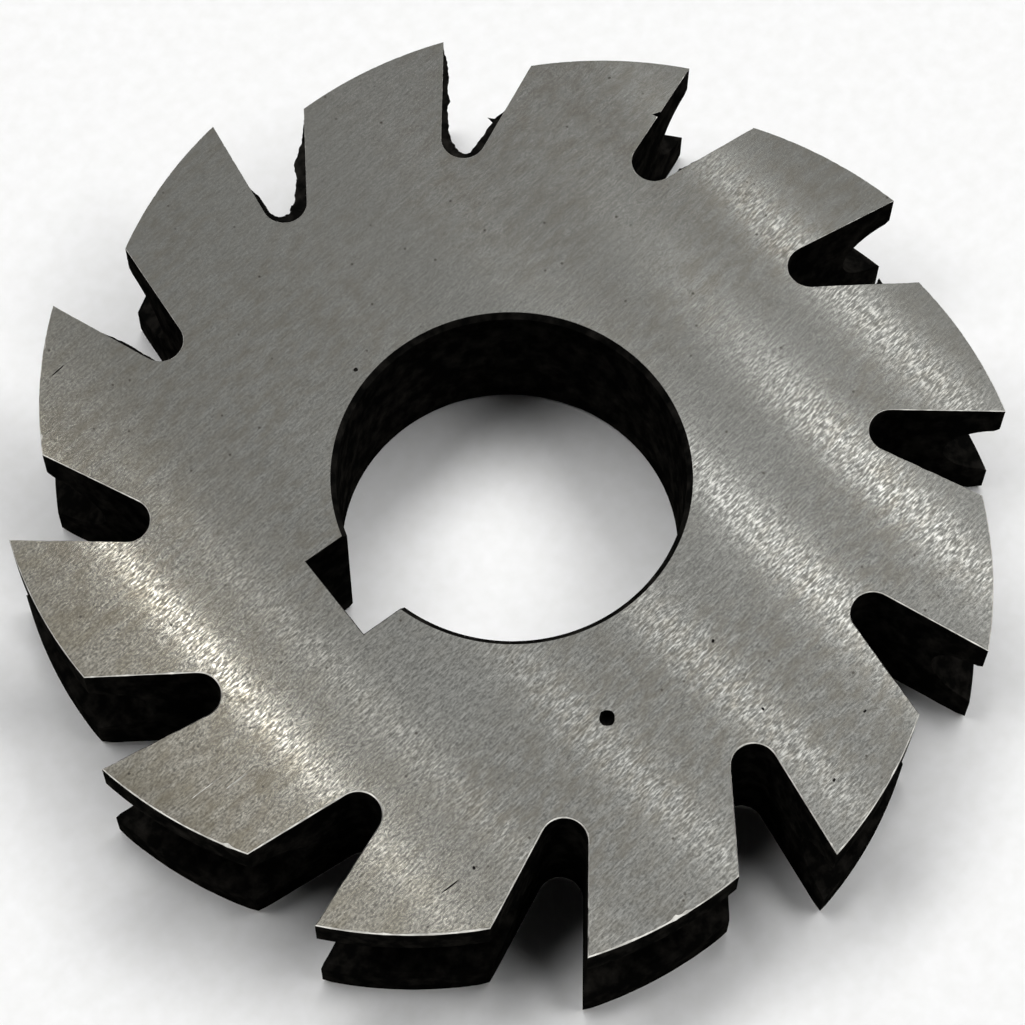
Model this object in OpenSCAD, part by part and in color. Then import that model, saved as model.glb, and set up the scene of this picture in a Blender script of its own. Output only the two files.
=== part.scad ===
// Concave milling cutter: a flat toothed disc with a keyed bore and a half-round groove cut into
// the rim of every tooth. Lengths are in millimetres and angles in degrees. The bore axis is Z,
// the lower side face lies on Z = 0, and the keyway opens towards +X.

/* [Body] */
// Diameter of the circle through the tooth tips
tip_d = 63; // [60:0.5:66]
// Width between the two ground side faces
body_w = 12; // [9:0.5:16]

/* [Teeth] */
// Number of teeth
tooth_count = 12; // [10:1:13]
// Angle from the middle of the keyway to the nearest tooth tip
tip_offset = 0.95; // [0:0.05:10]
// Angle at which the cutting face leans forward from the radius at the tip
rake_angle = 9; // [0:0.5:12]
// Angle between the back of a tooth and the tip circle, at the tip
relief_angle = 10; // [7:0.5:12]
// Distance that the back of a tooth falls below the tip circle over one pitch
relief_fall = 3.3; // [2.6:0.1:4]
// Angle between the cutting face and the opposite wall of a gullet
gullet_angle = 26.3; // [22:0.1:30]
// Depth of a gullet below the tip circle
gullet_depth = 8.8; // [8:0.1:9.6]
// Radius at the bottom of a gullet
gullet_root_r = 1.45; // [1:0.05:2]

/* [Form groove] */
// Radius of the half-round groove
groove_r = 3; // [2:0.1:3.5]
// Size of the bevel on each lip of the groove
lip_bevel = 0.3; // [0.1:0.05:0.6]

/* [Bore and keyway] */
// Diameter of the bore
bore_d = 22; // [18:0.5:25]
// Size of the bevel at both ends of the bore
bore_bevel = 0.35; // [0.1:0.05:0.8]
// Width of the keyway
keyway_w = 6; // [4:0.1:8]
// Distance from the bore axis to the floor of the keyway
keyway_floor = 13.7; // [13.2:0.1:15]

/* [Part to draw] */
// Sub-part to draw

/* [Hidden] */
$fn = 180;

// How far a cutting shape runs past the faces that it cuts
overshoot = 1;

tip_r = tip_d / 2;
bore_r = bore_d / 2;
pitch = 360 / tooth_count;

// Back of a tooth: an arc about a centre set off the bore axis. It passes through the tip at the
// relief angle, and through a point one pitch further round that has fallen by relief_fall.
relief_dir = [-cos(relief_angle), -sin(relief_angle)];
relief_chord = (tip_r - relief_fall) * [cos(pitch), sin(pitch)] - [tip_r, 0];
relief_r = relief_chord * relief_chord / (2 * relief_chord * relief_dir);
relief_centre = [tip_r, 0] + relief_r * relief_dir;

// Gullet: the cutting face runs inwards from the tip, and an arc at the bottom joins it to the
// opposite wall. The arc touches both walls, and its lowest point lies at gullet_depth.
face_dir = [-cos(rake_angle), sin(rake_angle)];
face_out = [-sin(rake_angle), -cos(rake_angle)];
wall_angle = rake_angle + gullet_angle;
wall_dir = [cos(wall_angle), -sin(wall_angle)];
wall_out = [-sin(wall_angle), -cos(wall_angle)];
root_centre_r = tip_r - gullet_depth + gullet_root_r;
face_reach = tip_r * cos(rake_angle);
face_len = face_reach - sqrt(pow(face_reach, 2) - pow(tip_r, 2) - pow(gullet_root_r, 2)
    + 2 * tip_r * gullet_root_r * sin(rake_angle) + pow(root_centre_r, 2));
face_foot = [tip_r, 0] + face_len * face_dir;
root_centre = face_foot + gullet_root_r * face_out;
wall_foot = root_centre + gullet_root_r * wall_out;
gullet_reach = 1.5 * gullet_depth;

// Outline of the gullet in front of the tooth whose tip lies on +X
module gullet_outline() {
    translate(root_centre) circle(r = gullet_root_r);
    polygon([
        root_centre,
        face_foot,
        face_foot - gullet_reach * face_dir,
        wall_foot + gullet_reach * wall_dir,
        wall_foot
    ]);
}

module gullet() {
    translate([0, 0, -overshoot])
        linear_extrude(height = body_w + 2 * overshoot) gullet_outline();
}

// Half section through a relieved tooth, from the centre of its relief arc out to its back
module tooth_section() {
    mid_w = body_w / 2;
    difference() {
        translate([0, -2 * overshoot]) square([relief_r, body_w + 4 * overshoot]);
        translate([relief_r, mid_w]) circle(r = groove_r);
        for (side = [-1, 1])
            translate([relief_r, mid_w + side * groove_r])
                rotate(45) square(lip_bevel * sqrt(2), center = true);
    }
}

// Everything outside one relieved tooth, from the gullet in front of it to the gullet behind.
// Both ends of this piece lie wholly inside gullets.
module relief_waste() {
    start = atan2(wall_foot[1], wall_foot[0]);
    reach = 2 * tip_r;
    difference() {
        translate([0, 0, -overshoot])
            linear_extrude(height = body_w + 2 * overshoot)
                polygon([
                    [0, 0],
                    reach * [cos(start), sin(start)],
                    reach * [cos(start + pitch / 2), sin(start + pitch / 2)],
                    reach * [cos(start + pitch), sin(start + pitch)]
                ]);
        translate([relief_centre[0], relief_centre[1], 0])
            rotate_extrude() tooth_section();
    }
}

module bore() {
    translate([0, 0, -overshoot]) cylinder(r = bore_r, h = body_w + 2 * overshoot);
    translate([0, 0, -overshoot])
        cylinder(r1 = bore_r + bore_bevel + overshoot, r2 = bore_r, h = bore_bevel + overshoot);
    translate([0, 0, body_w - bore_bevel])
        cylinder(r1 = bore_r, r2 = bore_r + bore_bevel + overshoot, h = bore_bevel + overshoot);
}

module keyway() {
    translate([0, -keyway_w / 2, -overshoot])
        cube([keyway_floor, keyway_w, body_w + 2 * overshoot]);
}

// The whole cutter, one piece of tool steel
module cutter_body() {
    color([0.50, 0.49, 0.47])
        difference() {
            cylinder(r = tip_r + overshoot, h = body_w);
            for (i = [0 : tooth_count - 1])
                rotate(tip_offset + i * pitch) {
                    gullet();
                    relief_waste();
                }
            bore();
            keyway();
        }
}

cutter_body();
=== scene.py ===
import math
import random

import bmesh
import bpy
from mathutils import Matrix, Vector, noise


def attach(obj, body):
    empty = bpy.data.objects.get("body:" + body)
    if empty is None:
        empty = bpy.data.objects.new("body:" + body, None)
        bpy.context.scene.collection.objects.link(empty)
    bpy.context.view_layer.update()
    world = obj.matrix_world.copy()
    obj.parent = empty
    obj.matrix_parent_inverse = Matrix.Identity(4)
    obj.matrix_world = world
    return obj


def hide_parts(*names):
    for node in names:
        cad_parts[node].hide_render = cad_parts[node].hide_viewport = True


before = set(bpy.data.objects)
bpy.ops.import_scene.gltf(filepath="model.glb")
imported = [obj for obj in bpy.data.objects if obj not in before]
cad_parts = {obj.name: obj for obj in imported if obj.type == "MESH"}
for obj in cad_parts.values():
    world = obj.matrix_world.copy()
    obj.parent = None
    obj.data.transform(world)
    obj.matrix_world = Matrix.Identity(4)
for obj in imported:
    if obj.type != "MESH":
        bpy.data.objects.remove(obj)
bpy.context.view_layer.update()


# Cutter body: one forged and hardened disc of high-speed steel. The gullets are milled, the backs
# of the teeth are relieved on a relieving lathe, and the two sides are ground flat last of all.
# The rim is a stack of closed outlines, one for each height. Its sizes are in millimetres.
tip_radius = 31.5
body_width = 12.0
tooth_count = 12
tip_offset = math.radians(0.95)
rake_angle = math.radians(9)
relief_angle = math.radians(10)
relief_fall = 3.3
gullet_angle = math.radians(26.3)
gullet_depth = 8.8
root_radius = 1.45
pitch = 2 * math.pi / tooth_count
back_steps, wall_steps, root_steps, face_steps = 72, 44, 16, 36


def turned(point, angle):
    """The point after a turn about the bore axis."""
    c, s = math.cos(angle), math.sin(angle)
    return Vector((c * point.x - s * point.y, s * point.x + c * point.y))


def on_circle(centre, radius, angle):
    return centre + radius * Vector((math.cos(angle), math.sin(angle)))


def meets_circle(start, direction, centre, radius, way):
    """Where a line enters a circle (way -1) or leaves it (way 1)."""
    offset = start - centre
    along = offset.dot(direction)
    half_chord = math.sqrt(along ** 2 - offset.length_squared + radius ** 2)
    return start + direction * (way * half_chord - along)


axis_point = Vector((0, 0))
tip = Vector((tip_radius, 0))
to_relief_centre = Vector((-math.cos(relief_angle), -math.sin(relief_angle)))
relief_chord = turned(Vector((tip_radius - relief_fall, 0)), pitch) - tip
relief_radius = relief_chord.length_squared / (2 * relief_chord.dot(to_relief_centre))
relief_centre = tip + to_relief_centre * relief_radius

face_inward = Vector((-math.cos(rake_angle), math.sin(rake_angle)))
face_normal = Vector((-math.sin(rake_angle), -math.cos(rake_angle)))
wall_angle = rake_angle + gullet_angle
wall_outward = Vector((math.cos(wall_angle), -math.sin(wall_angle)))
wall_normal = Vector((-math.sin(wall_angle), -math.cos(wall_angle)))
root_centre = meets_circle(tip + face_normal * root_radius, face_inward, axis_point,
                           tip_radius - gullet_depth + root_radius, -1)


def tooth_outline(step_back, depth):
    """Plan of the tooth on +X and of the gullet behind it, up to just before the next tip. The
    outline steps back into the steel by step_back, and the back of the tooth lies at depth."""
    back_radius = relief_radius - depth - step_back
    bottom_radius = root_radius + step_back
    face_start = tip - face_normal * step_back
    this_tip = meets_circle(face_start, -face_inward, relief_centre, back_radius, 1)
    next_tip = turned(this_tip, pitch)
    bottom = turned(root_centre, pitch)
    wall_foot = bottom + turned(wall_normal, pitch) * bottom_radius
    heel = meets_circle(wall_foot, turned(wall_outward, pitch), relief_centre, back_radius, 1)
    face_foot = bottom - turned(face_normal, pitch) * bottom_radius
    back_from = math.atan2(*(this_tip - relief_centre).yx)
    back_turn = math.atan2(*(heel - relief_centre).yx) - back_from
    root_from = math.atan2(*(wall_foot - bottom).yx)
    root_turn = (root_from - math.atan2(*(face_foot - bottom).yx)) % (2 * math.pi)
    points = [on_circle(relief_centre, back_radius, back_from + back_turn * i / back_steps)
              for i in range(back_steps)]
    points += [heel.lerp(wall_foot, i / wall_steps) for i in range(wall_steps)]
    points += [on_circle(bottom, bottom_radius, root_from - root_turn * i / root_steps)
               for i in range(root_steps)]
    points += [face_foot.lerp(next_tip, i / face_steps) for i in range(face_steps)]
    return points


def rim_outline(step_back, depth):
    tooth = tooth_outline(step_back, depth)
    return [turned(p, tip_offset + i * pitch) for i in range(tooth_count) for p in tooth]


# Edges of the ground sides: the grinding wheel leaves a fine broken edge, uneven along its length
# and widest where the wheel runs off. Handling has knocked small chips out of the upper edge, and
# has worn the lower corners of the teeth round.
chips = [  # x, y, reach along the edge and depth
    (9.67, 28.74, 0.22, 0.24),
    (8.95, 29.00, 0.22, 0.12),
    (14.40, 26.60, 0.14, 0.16),
    (28.21, 9.02, 0.22, 0.16),
    (18.18, -24.92, 0.20, 0.14),
    (22.06, -19.91, 0.18, 0.13),
    (-23.30, -14.70, 0.15, 0.36),
]
old_nick, nick_reach = Vector(chips[-1][:2]), 0.25  # older than the hardening, so it is black
run_off = Vector((0.62, 0.78))
middle_break, run_off_extra, least_break = 0.030, 0.038, 0.004
uneven_share, uneven_rate = 0.8, 0.9
torn_extra, torn_rate = 0.05, 4
corner_wear, corner_reach = 0.26, 0.45
tooth_corners = [turned(tooth_outline(0, 0)[i], tip_offset + tooth * pitch)
                 for tooth in range(tooth_count) for i in (0, back_steps)]


def edge_break(point, side):
    """Width of the broken edge at a point of the outline, on the upper (1) or lower (-1) side."""
    x, y = point
    uneven = noise.noise(Vector((x * uneven_rate, y * uneven_rate, 7 * side)))
    torn = noise.noise(Vector((x * torn_rate, y * torn_rate, 3 * side)))
    width = middle_break + run_off_extra * point.dot(run_off) / tip_radius
    width = width * (1 + uneven_share * uneven) + torn_extra * max(0, torn)
    if side > 0:
        for chip_x, chip_y, reach, depth in chips:
            width += depth * math.exp(-((x - chip_x) ** 2 + (y - chip_y) ** 2) / reach ** 2)
    else:
        gap = min((point - corner).length for corner in tooth_corners)
        width += corner_wear * math.exp(-(gap / corner_reach) ** 2)
    return max(width, least_break)


sharp_rim = rim_outline(0, 0)
stepped_rim = rim_outline(1, 0)
rows = []
for side, face_height in ((-1, 0), (1, body_width)):
    breaks = [edge_break(p, side) for p in sharp_rim]
    on_face = [(*a.lerp(b, e), face_height) for a, b, e in zip(sharp_rim, stepped_rim, breaks)]
    on_rim = [(*a, face_height - side * e) for a, e in zip(sharp_rim, breaks)]
    rows += [on_face, on_rim] if side < 0 else [on_rim, on_face]

# Form groove: the half-round that shapes the work, with its two bevelled lips. It is turned into
# the backs of the teeth with the relief. Each height has its depth below the back of the tooth.
groove_radius = 3.0
lip_bevel = 0.3
groove_steps = 18
lip_angle = math.asin((groove_radius + lip_bevel) / groove_radius / math.sqrt(2)) - math.pi / 4
profile = [(body_width / 2 - groove_radius - lip_bevel, 0)]
for i in range(groove_steps + 1):
    a = lip_angle + (math.pi - 2 * lip_angle) * i / groove_steps
    profile.append((body_width / 2 - groove_radius * math.cos(a), groove_radius * math.sin(a)))
profile.append((body_width / 2 + groove_radius + lip_bevel, 0))
rows[2:2] = [[(*p, height) for p in rim_outline(0, depth)] for height, depth in profile]

# Bore and keyway: the bore is ground to fit the arbor, with a small bevel at each end, and the
# keyway is broached through from side to side.
bore_radius = 11.0
bore_bevel = 0.35
keyway_half = 3.0
keyway_floor = 13.7
keyway_break = 0.06
bore_steps, keyway_steps = 168, 12


def bore_outline(radius, step_out):
    half = keyway_half + step_out
    floor_x = keyway_floor + step_out
    mouth = math.asin(half / radius)
    mouth_x = radius * math.cos(mouth)
    points = [on_circle(axis_point, radius, mouth + (2 * math.pi - 2 * mouth) * i / bore_steps)
              for i in range(bore_steps)]
    key_corners = [Vector(p) for p in ((mouth_x, -half), (floor_x, -half),
                                       (floor_x, half), (mouth_x, half))]
    for a, b in zip(key_corners, key_corners[1:]):
        points += [a.lerp(b, i / keyway_steps) for i in range(keyway_steps)]
    return points


bore_rows = []
for height, radius, step_out in (
        (0, bore_radius + bore_bevel, keyway_break),
        (keyway_break, bore_radius + bore_bevel - keyway_break, 0),
        (bore_bevel, bore_radius, 0),
        (body_width - bore_bevel, bore_radius, 0),
        (body_width - keyway_break, bore_radius + bore_bevel - keyway_break, 0),
        (body_width, bore_radius + bore_bevel, keyway_break)):
    bore_rows.append([(*p, height) for p in bore_outline(radius, step_out)])

# Skin of the cutter: the rim and the bore are joined row by row into walls. The broken edges show
# bare steel, and the rest is black from hardening, the old nick included.
ground_side, dark_scale, bright_edge = 0, 1, 2
mesh = bmesh.new()


def skin(outlines, finish_of_row):
    """Joins a stack of closed outlines into a wall, and returns the outlines' vertices."""
    made = [[mesh.verts.new(p) for p in outline] for outline in outlines]
    for i, (low, high) in enumerate(zip(made, made[1:])):
        for j in range(len(low)):
            quad = mesh.faces.new((low[j - 1], low[j], high[j], high[j - 1]))
            quad.material_index = finish_of_row(i)
            quad.smooth = True
    return made


last_row = len(rows) - 2
rim = skin(rows, lambda i: bright_edge if i in (0, last_row) else dark_scale)
bore = skin(bore_rows, lambda i: dark_scale)
for face in mesh.faces:
    middle = face.calc_center_median()
    if middle.z > body_width / 2 and (middle.xy - old_nick).length < nick_reach:
        face.material_index = dark_scale

# Painted shadow: black strips shaped like torn burrs along the gullet walls, just below the upper
# side, where deep shade lies beside the walls. They take the walls' black scale. Each is a thin
# closed strip, set into the wall.
shadow_strips = [  # gullet, then places along its wall from the heel and how far the strip stands out there
    (5, ((2.2, 0), (2.5, 0.6), (2.7, 0.1), (2.9, 0.35), (3.1, 0))),
    (6, ((3.6, 0), (4.4, 0.14), (5.5, 0.16), (5.7, 0.24), (5.9, 0.15), (6.6, 0))),
    (7, ((3.2, 0), (4.0, 0.2), (4.5, 0.4), (4.65, 0.95), (4.8, 0.4), (6.0, 0.5), (7.2, 0.6),
         (8.4, 0.45), (9.8, 0.85), (11.4, 0.5), (13.3, 0.36), (13.7, 0.55), (14.2, 0.36),
         (15.6, 0.4), (16.6, 0.28), (17.7, 0))),
    (8, ((0.6, 0), (2.4, 0.24), (4.0, 0.78), (5.2, 0.6), (6.6, 0.85), (7.6, 1.0), (8.8, 0.7),
         (10.4, 0.4), (12.0, 0.3), (13.2, 0))),
    (9, ((9.8, 0), (10.6, 0.2), (12.4, 0.28), (13.6, 0.2), (14.8, 0))),
]
shadow_strip_step = 0.08
shadow_strip_root, shadow_strip_top, shadow_strip_foot = 0.15, 0.08, 0.9
wavy_share, wavy_rate = 0.16, 1.6
frayed_extra, frayed_rate = 0.05, 3.5
hang_middle, hang_extra, hang_rate = 0.3, 0.15, 2


def between(knots, along):
    """The height of a line through the knots, at a place along it."""
    for (a, low), (b, high) in zip(knots, knots[1:]):
        if a <= along <= b:
            return low + (high - low) * (along - a) / (b - a)


for gullet, knots in shadow_strips:
    wall = [turned(p, tip_offset + gullet * pitch) for p in tooth_outline(0, 0)[back_steps:]]
    wall.append(turned(tip, tip_offset + (gullet + 1) * pitch))
    along, here, sections = 0, 0, []
    for a, b in zip(wall, wall[1:]):
        stretch = (b - a).length
        while here <= along + stretch:
            if knots[0][0] <= here <= knots[-1][0]:
                foot = a.lerp(b, (here - along) / stretch)
                out = Vector((b.y - a.y, a.x - b.x)).normalized()
                wavy = noise.noise(Vector((here * wavy_rate, gullet, 0)))
                frayed = noise.noise(Vector((here * frayed_rate, gullet, 5)))
                reach = between(knots, here) * (1 + wavy_share * wavy) + frayed_extra * frayed
                hang = hang_middle + hang_extra * noise.noise(Vector((here * hang_rate, gullet, 9)))
                section = ((-shadow_strip_root, shadow_strip_top), (max(reach, 0), hang), (-shadow_strip_root, shadow_strip_foot))
                sections.append([mesh.verts.new((*(foot + out * o), body_width - h))
                                 for o, h in section])
            here += shadow_strip_step
        along += stretch
    strip = [(first[i - 1], first[i], second[i], second[i - 1])
             for first, second in zip(sections, sections[1:]) for i in range(3)]
    for face_points in (*strip, sections[0], sections[-1]):
        # The strips are painted shadow, a dark shape put where there is only shade, so they take
        # the black scale.
        mesh.faces.new(face_points).material_index = dark_scale

# Pits and scratches in the upper side: small hollows with a sloping wall. Two scratches are fresh
# and show bright steel, and the other marks are filled with old scale.
marks = [  # x, y, length, width, depth, angle in degrees and whether it is bright
    (3.48, -11.75, 0.30, 0.26, 0.12, 0, False),
    (-3.12, 16.30, 0.24, 0.18, 0.08, 40, False),
    (-2.79, 21.61, 0.22, 0.16, 0.08, 90, False),
    (-3.35, 27.75, 0.24, 0.16, 0.08, 20, False),
    (-7.66, 25.46, 0.26, 0.14, 0.08, 10, False),
    (17.33, 19.05, 0.24, 0.16, 0.08, 70, False),
    (5.15, 16.34, 1.02, 0.94, 0.90, 50, False),
    (19.15, 19.12, 1.30, 0.09, 0.05, 1, False),
    (18.55, -23.05, 1.05, 0.09, 0.05, 9, False),
    (27.13, 5.29, 2.35, 0.05, 0.02, 2, True),
    (25.50, 6.05, 1.55, 0.09, 0.03, 2, True),
]
mark_steps = 24
wall_foot_share, wall_foot_sink = 0.62, 0.75
rough_edge, roughest_share, square_share = 0.03, 0.1, 0.06
random.seed(4)
mark_loops = []
for x, y, length, width, depth, angle, bright in marks:
    loops = []
    wobble = min(roughest_share, rough_edge / width)
    rough = [random.uniform(1 - wobble, 1 + wobble) for i in range(mark_steps)]
    for share, sink in ((1, 0), (wall_foot_share, wall_foot_sink)):
        loop = []
        for i in range(mark_steps):
            a = 2 * math.pi * i / mark_steps
            squarish = 1 + square_share * math.sin(2 * a) ** 2
            p = Vector((length / 2 * math.cos(a), width / 2 * math.sin(a))) * rough[i] * squarish
            p = turned(p * share, math.radians(angle))
            loop.append(mesh.verts.new((x + p.x, y + p.y, body_width - depth * sink)))
        loops.append(loop)
    outer, inner = loops
    bottom = mesh.verts.new((x, y, body_width - depth))
    for i in range(mark_steps):
        for face_points in ((outer[i - 1], outer[i], inner[i], inner[i - 1]),
                            (inner[i - 1], inner[i], bottom)):
            face = mesh.faces.new(face_points)
            face.material_index = bright_edge if bright else dark_scale
            face.smooth = True
    mark_loops.append(outer)

# Ground sides: each is one flat plane from the rim to the bore, open only where a mark breaks it.
# The walls shade smoothly round their curves, and stay crisp at every true edge.
smooth_limit = math.radians(28)
metres_per_mm = 0.001


def closed_edges(loop):
    pairs = zip(loop, loop[1:] + loop[:1])
    return [mesh.edges.get(pair) or mesh.edges.new(pair) for pair in pairs]


for loops in ((rim[0], bore[0]), (rim[-1], bore[-1], *mark_loops)):
    edges = [e for loop in loops for e in closed_edges(loop)]
    filled = bmesh.ops.triangle_fill(mesh, edges=edges, use_beauty=True, normal=(0, 0, 1))
    for face in filled["geom"]:
        if isinstance(face, bmesh.types.BMFace):
            face.material_index = ground_side
            face.smooth = False

bmesh.ops.recalc_face_normals(mesh, faces=mesh.faces)
for edge in mesh.edges:
    first, second = edge.link_faces
    one_finish = (first.material_index == ground_side) == (second.material_index == ground_side)
    edge.smooth = one_finish and edge.calc_face_angle() < smooth_limit
bmesh.ops.scale(mesh, vec=(metres_per_mm,) * 3, verts=mesh.verts)
cutter_mesh = bpy.data.meshes.new("milling_cutter")
mesh.to_mesh(cutter_mesh)
mesh.free()
cutter = bpy.data.objects.new("milling_cutter", cutter_mesh)
bpy.context.scene.collection.objects.link(cutter)

# Surface-ground high-speed steel: straight fine scratches from the wheel, all one way, with short
# smooth dashes between them that glint. The eye sees a mid grey with slight warm clouding. Real
# scratches are a few hundredths of a millimetre wide, so these are drawn wider, to show.
grind_angle = math.radians(8)
cloud_mm, speck_mm = 13.3, 1.43


def linear(hex_code):
    """An sRGB hex colour as the linear values that a shader takes."""
    channels = [int(hex_code[i:i + 2], 16) / 255 for i in (1, 3, 5)]
    return (*[c / 12.92 if c <= 0.04045 else ((c + 0.055) / 1.055) ** 2.4 for c in channels], 1)


def add_node(tree, kind, inputs, **settings):
    """Adds a node with its settings. Each input is a value, or the output that feeds it."""
    node = tree.nodes.new("ShaderNode" + kind)
    for name, value in settings.items():
        setattr(node, name, value)
    for name, value in inputs.items():
        if isinstance(value, bpy.types.NodeSocket):
            tree.links.new(value, node.inputs[name])
        else:
            node.inputs[name].default_value = value
    return node


def new_finish(name):
    """An empty material, its node tree, and the place on the piece that its patterns follow."""
    material = bpy.data.materials.new(name)
    material.use_nodes = True
    tree = material.node_tree
    tree.nodes.clear()
    return material, tree, add_node(tree, "TexCoord", {}).outputs["Object"]


def tinted(tree, under, tint, pattern, span, shares, how="MIX"):
    """Lays a tint over the colour under it. The tint goes from the first of its two shares to the
    second while the pattern goes across its span."""
    share = add_node(tree, "MapRange", {
        "Value": pattern, "From Min": span[0], "From Max": span[1],
        "To Min": shares[0], "To Max": shares[1]})
    return add_node(tree, "Mix", {0: share.outputs[0], 6: under, 7: tint},
                    data_type="RGBA", blend_type=how).outputs[2]


ground_steel, tree, place = new_finish("surface_ground_high_speed_steel")


def grinding_lines(length_mm, width_mm, detail):
    """Noise drawn out along the grinding direction."""
    stretched = add_node(tree, "Mapping", {
        "Vector": place, "Rotation": (0, 0, grind_angle),
        "Scale": (length_mm * metres_per_mm, width_mm * metres_per_mm, 1)}, vector_type="TEXTURE")
    return add_node(tree, "TexNoise", {
        "Vector": stretched.outputs[0], "Scale": 1, "Detail": detail, "Roughness": 0.6}).outputs[0]


hairlines = grinding_lines(1.4, 0.15, 1)
long_scratches = grinding_lines(11, 0.24, 2)
dashes = grinding_lines(0.55, 0.14, 1)
grain = grinding_lines(0.24, 0.13, 1)
stain_streaks = grinding_lines(1.6, 0.8, 4)
smears = grinding_lines(3.5, 1.6, 3)
clouds = add_node(tree, "TexNoise", {
    "Vector": place, "Scale": 1 / (cloud_mm * metres_per_mm), "Detail": 2}).outputs[0]
specks = add_node(tree, "TexVoronoi", {
    "Vector": place, "Scale": 1 / (speck_mm * metres_per_mm)}).outputs["Distance"]

# The lines are coarser towards the side where the wheel ran off. The side with the keyway has been
# handled more, which leaves it warmer, grainier and smeared.
towards_run_off = add_node(tree, "VectorMath", {0: place, 1: (*run_off, 0)},
                           operation="DOT_PRODUCT").outputs["Value"]
towards_keyway = add_node(tree, "SeparateXYZ", {0: place}).outputs["X"]
coarse_span, coarse_shares, handled_span = (-0.018, 0.010), (0.3, 1), (0.012, 0.025)
coarse, coarse_grain, handled_grain, handled_smears, cloudiness = [
    add_node(tree, "MapRange", {"Value": pattern, "From Min": low, "From Max": high,
                                "To Min": least, "To Max": most}).outputs[0]
    for pattern, (low, high), (least, most) in (
        (towards_run_off, coarse_span, coarse_shares),
        (towards_run_off, coarse_span, (0.17, 0.38)),
        (towards_keyway, handled_span, (0.17, 0.8)),
        (towards_keyway, handled_span, (0, 0.35)),
        (clouds, (0.36, 0.58), (0, 0.55)))]
graininess = add_node(tree, "Math", {0: coarse_grain, 1: handled_grain},
                      operation="MAXIMUM").outputs[0]

lined = tinted(tree, linear("#5F5F5C"), linear("#898985"), hairlines, (0.3, 0.7), (0, 1))
lined = tinted(tree, lined, linear("#4E4E4B"), dashes, (0.34, 0.6), (0.7, 0))
grey = tinted(tree, linear("#747470"), lined, towards_run_off, coarse_span, coarse_shares)
grey = tinted(tree, grey, linear("#A3A39E"), grain, (0.36, 0.64), (0, graininess))
grey = tinted(tree, grey, linear("#6A6965"), long_scratches, (0.4, 0.64), (0, 0.25))
grey = tinted(tree, grey, linear("#67635A"), stain_streaks, (0.4, 0.65), (0, cloudiness))
grey = tinted(tree, grey, linear("#6E6A5D"), smears, (0.46, 0.62), (0, handled_smears))
grey = tinted(tree, grey, linear("#FCF7EF"), towards_keyway, handled_span, (0, 1), "MULTIPLY")
grey = tinted(tree, grey, linear("#45423D"), specks, (0.03, 0.08), (1, 0))

smoothness = add_node(tree, "MapRange", {
    "Value": dashes, "From Min": 0.38, "From Max": 0.62, "To Min": 0.19, "To Max": 0.08})
dash_share, scratch_depth = 0.55, 0.0014 * metres_per_mm
scratches = add_node(tree, "Math", {0: hairlines, 1: long_scratches}, operation="ADD")
scratches = add_node(tree, "Math", {0: dashes, 1: dash_share, 2: scratches.outputs[0]},
                     operation="MULTIPLY_ADD")
bumps = add_node(tree, "Bump", {
    "Height": scratches.outputs[0], "Strength": coarse, "Distance": scratch_depth})
across_lines = add_node(tree, "CombineXYZ", {
    "X": -math.sin(grind_angle), "Y": math.cos(grind_angle)})
metal = add_node(tree, "BsdfPrincipled", {
    "Base Color": grey, "Metallic": 1, "Roughness": smoothness.outputs[0],
    "Normal": bumps.outputs[0], "Anisotropic": 1, "Tangent": across_lines.outputs[0]})
add_node(tree, "OutputMaterial", {"Surface": metal.outputs[0]})

# Heat-treatment scale: the black oxide of hardening, left on every surface that isn't ground.
# It is nearly black and dull, with faint brown-grey patches and a fine grit. Real grit is a few
# hundredths of a millimetre across, so it is drawn coarser, to show.
patch_mm, grit_mm, grit_depth = 1.11, 0.2, 0.01 * metres_per_mm
hardening_scale, tree, place = new_finish("hardening_scale")
upright = add_node(tree, "Mapping", {"Vector": place, "Scale": (1, 1, 0.7)}).outputs[0]
patches = add_node(tree, "TexNoise", {
    "Vector": upright, "Scale": 1 / (patch_mm * metres_per_mm), "Detail": 4,
    "Roughness": 0.6}).outputs[0]
grit = add_node(tree, "TexNoise", {
    "Vector": place, "Scale": 1 / (grit_mm * metres_per_mm), "Detail": 2}).outputs[0]
oxide = tinted(tree, linear("#0B0B0A"), linear("#292724"), patches, (0.44, 0.82), (0, 1))
dullness = add_node(tree, "MapRange", {
    "Value": patches, "From Min": 0.4, "From Max": 0.7, "To Min": 0.62, "To Max": 0.5})
bumps = add_node(tree, "Bump", {"Height": grit, "Strength": 0.5, "Distance": grit_depth})
coat = add_node(tree, "BsdfPrincipled", {
    "Base Color": oxide, "Roughness": dullness.outputs[0], "Normal": bumps.outputs[0],
    "Specular IOR Level": 0})
add_node(tree, "OutputMaterial", {"Surface": coat.outputs[0]})

# Broken edges and fresh chips: bare steel, left by the wheel and rubbed in handling. The eye sees
# a thin bright line, a little duller in places.
wear_mm = 0.714
bare_edge, tree, place = new_finish("bare_steel_edge")
wear = add_node(tree, "TexNoise", {
    "Vector": place, "Scale": 1 / (wear_mm * metres_per_mm), "Detail": 2}).outputs[0]
bright = tinted(tree, linear("#A3A19B"), linear("#D2D0CA"), wear, (0.35, 0.65), (0, 1))
dullness = add_node(tree, "MapRange", {
    "Value": wear, "From Min": 0.35, "From Max": 0.65, "To Min": 0.4, "To Max": 0.25})
metal = add_node(tree, "BsdfPrincipled", {
    "Base Color": bright, "Metallic": 1, "Roughness": dullness.outputs[0]})
add_node(tree, "OutputMaterial", {"Surface": metal.outputs[0]})

for material in (ground_steel, hardening_scale, bare_edge):
    cutter_mesh.materials.append(material)
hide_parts("cutter_body")
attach(cutter, "root")

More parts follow.
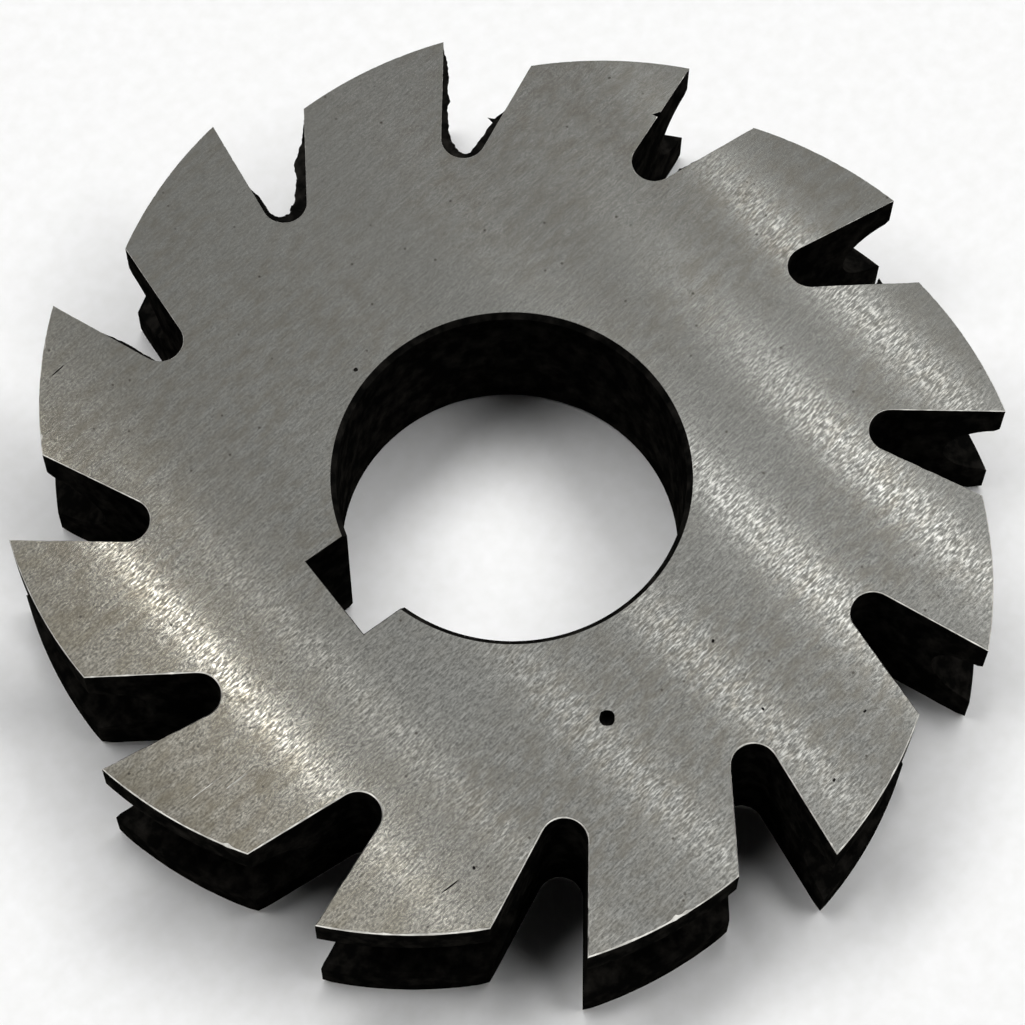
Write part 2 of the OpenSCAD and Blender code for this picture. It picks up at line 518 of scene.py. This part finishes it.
# Floor: matt white paper under the cutter, wide enough to fill every view. Its pressed fibres are
# too fine to show, so they are drawn as a faint mottling a millimetre across.
floor_half = 3
fibre_mm = 1.11
floor_mesh = bpy.data.meshes.new("floor")
sheet = bmesh.new()
bmesh.ops.create_grid(sheet, x_segments=8, y_segments=8, size=floor_half)
sheet.to_mesh(floor_mesh)
sheet.free()
floor = bpy.data.objects.new("floor", floor_mesh)
bpy.context.scene.collection.objects.link(floor)
paper, tree, place = new_finish("matt_white_paper")
fibres = add_node(tree, "TexNoise", {
    "Vector": place, "Scale": 1 / (fibre_mm * metres_per_mm), "Detail": 3}).outputs[0]
white = tinted(tree, linear("#F1F1F0"), linear("#F6F6F6"), fibres, (0.3, 0.7), (0, 1))
matt_sheet = add_node(tree, "BsdfPrincipled", {
    "Base Color": white, "Roughness": 0.9, "Specular IOR Level": 0.1})
add_node(tree, "OutputMaterial", {"Surface": matt_sheet.outputs[0]})
floor_mesh.materials.append(paper)

# Light: a room that is pale all round in a reflection and a little brighter to one side, and that
# adds only a low even light of its own, so that the floor keeps the shadow of the cutter.
pale_side, bright_side, low_level = 0.79, 1.38, 0.012
surround = bpy.data.worlds.new("surround")
surround.use_nodes = True
tree = surround.node_tree
backdrop = tree.nodes["Background"]
rays = add_node(tree, "LightPath", {}).outputs
way = add_node(tree, "SeparateXYZ", {0: add_node(tree, "TexCoord", {}).outputs["Generated"]})
room = add_node(tree, "MapRange", {
    "Value": way.outputs["Y"], "From Min": -0.42, "From Max": -0.16,
    "To Min": pale_side, "To Max": bright_side}).outputs[0]
mirrored = add_node(tree, "Math", {0: rays["Is Glossy Ray"], 1: rays["Is Transmission Ray"]},
                    operation="MAXIMUM").outputs[0]
level = add_node(tree, "Mix", {0: mirrored, 6: (low_level, low_level, low_level, 1), 7: room},
                 data_type="RGBA").outputs[2]
level = add_node(tree, "Mix", {0: rays["Is Camera Ray"], 6: level, 7: (1, 1, 1, 1)},
                 data_type="RGBA").outputs[2]
tree.links.new(level, backdrop.inputs["Color"])
bpy.context.scene.world = surround


def add_lamp(name, place, aim, length, width, watts, turn):
    """A flat rectangular lamp that faces its aim, turned about the line to it."""
    lamp = bpy.data.lights.new(name, "AREA")
    lamp.shape = "RECTANGLE"
    lamp.size = length
    lamp.size_y = width
    lamp.energy = watts
    holder = bpy.data.objects.new(name, lamp)
    facing = (Vector(place) - Vector(aim)).to_track_quat("Z", "Y").to_matrix().to_4x4()
    holder.matrix_world = Matrix.Translation(place) @ facing @ Matrix.Rotation(turn, 4, "Z")
    bpy.context.scene.collection.objects.link(holder)
    return holder


# Two wide soft lamps, high up beyond the far side, light the floor evenly a long way out. The
# steel doesn't mirror them.
for name, place, watts in (("soft_lamp_left", (0.464, -3.840, 8.784), 695),
                           ("soft_lamp_right", (-4.816, 0.776, 8.256), 585)):
    add_lamp(name, place, (0, 0, 0), 10.4, 3.2, watts, 0).visible_glossy = False

# Narrow lamps overhead: each is mirrored across the grinding lines as one bright band. Each row
# gives how far the lamp is from the bore axis along the lines at its two ends, where it starts
# and ends across them, its width and its power.
band_height = 0.7
band_lamps = [
    (-0.1285, -0.1215, -0.274, -0.190, 0.004, 0.0162),
    (-0.1210, -0.1170, -0.184, -0.125, 0.004, 0.0018),
    (-0.145, -0.144, -0.280, -0.110, 0.006, 0.0047),
    (-0.180, -0.182, -0.170, -0.070, 0.009, 0.0053),
    (-0.216, -0.216, -0.170, -0.080, 0.009, 0.0070),
    (-0.255, -0.253, -0.180, -0.080, 0.010, 0.0135),
    (-0.289, -0.289, -0.175, -0.095, 0.010, 0.0132),
    (-0.325, -0.321, -0.230, -0.120, 0.009, 0.0125),
    (-0.106, -0.100, -0.265, -0.160, 0.020, 0.0032),
]
along_way = Vector((math.cos(grind_angle), math.sin(grind_angle)))
across_way = Vector((-math.sin(grind_angle), math.cos(grind_angle)))
for number, (first, last, across_from, across_to, width, watts) in enumerate(band_lamps, 1):
    start = along_way * first + across_way * across_from
    end = along_way * last + across_way * across_to
    middle = (start + end) / 2
    add_lamp(f"band_lamp_{number}", (*middle, band_height), (*middle, 0), (end - start).length,
             width, watts, math.atan2(*(end - start).yx))

# Camera: above the cutter and looking down at it, as the photograph does.
view_azimuth = math.radians(51.52)
view_elevation = math.radians(66.873)
view_roll = math.radians(1.312)
view_distance = 0.23639
view_target = Vector((-0.00168, -0.001952, 0))
photo_width, focal_pixels, sensor_mm = 1025, 3585.67, 36
backwards = Vector((math.cos(view_azimuth) * math.cos(view_elevation),
                    math.sin(view_azimuth) * math.cos(view_elevation), math.sin(view_elevation)))
level_right = Vector((-math.sin(view_azimuth), math.cos(view_azimuth), 0))
level_up = backwards.cross(level_right)
right = level_right * math.cos(view_roll) + level_up * math.sin(view_roll)
up = level_up * math.cos(view_roll) - level_right * math.sin(view_roll)
camera_data = bpy.data.cameras.new("camera")
camera_data.sensor_width = sensor_mm
camera_data.lens = focal_pixels / photo_width * sensor_mm
camera_data.clip_start = 0.01
camera = bpy.data.objects.new("camera", camera_data)
turn_matrix = Matrix((right, up, backwards)).transposed().to_4x4()
camera.matrix_world = Matrix.Translation(view_target + backwards * view_distance) @ turn_matrix
bpy.context.scene.collection.objects.link(camera)
bpy.context.scene.camera = camera

bpy.context.scene.view_settings.view_transform = "Standard"
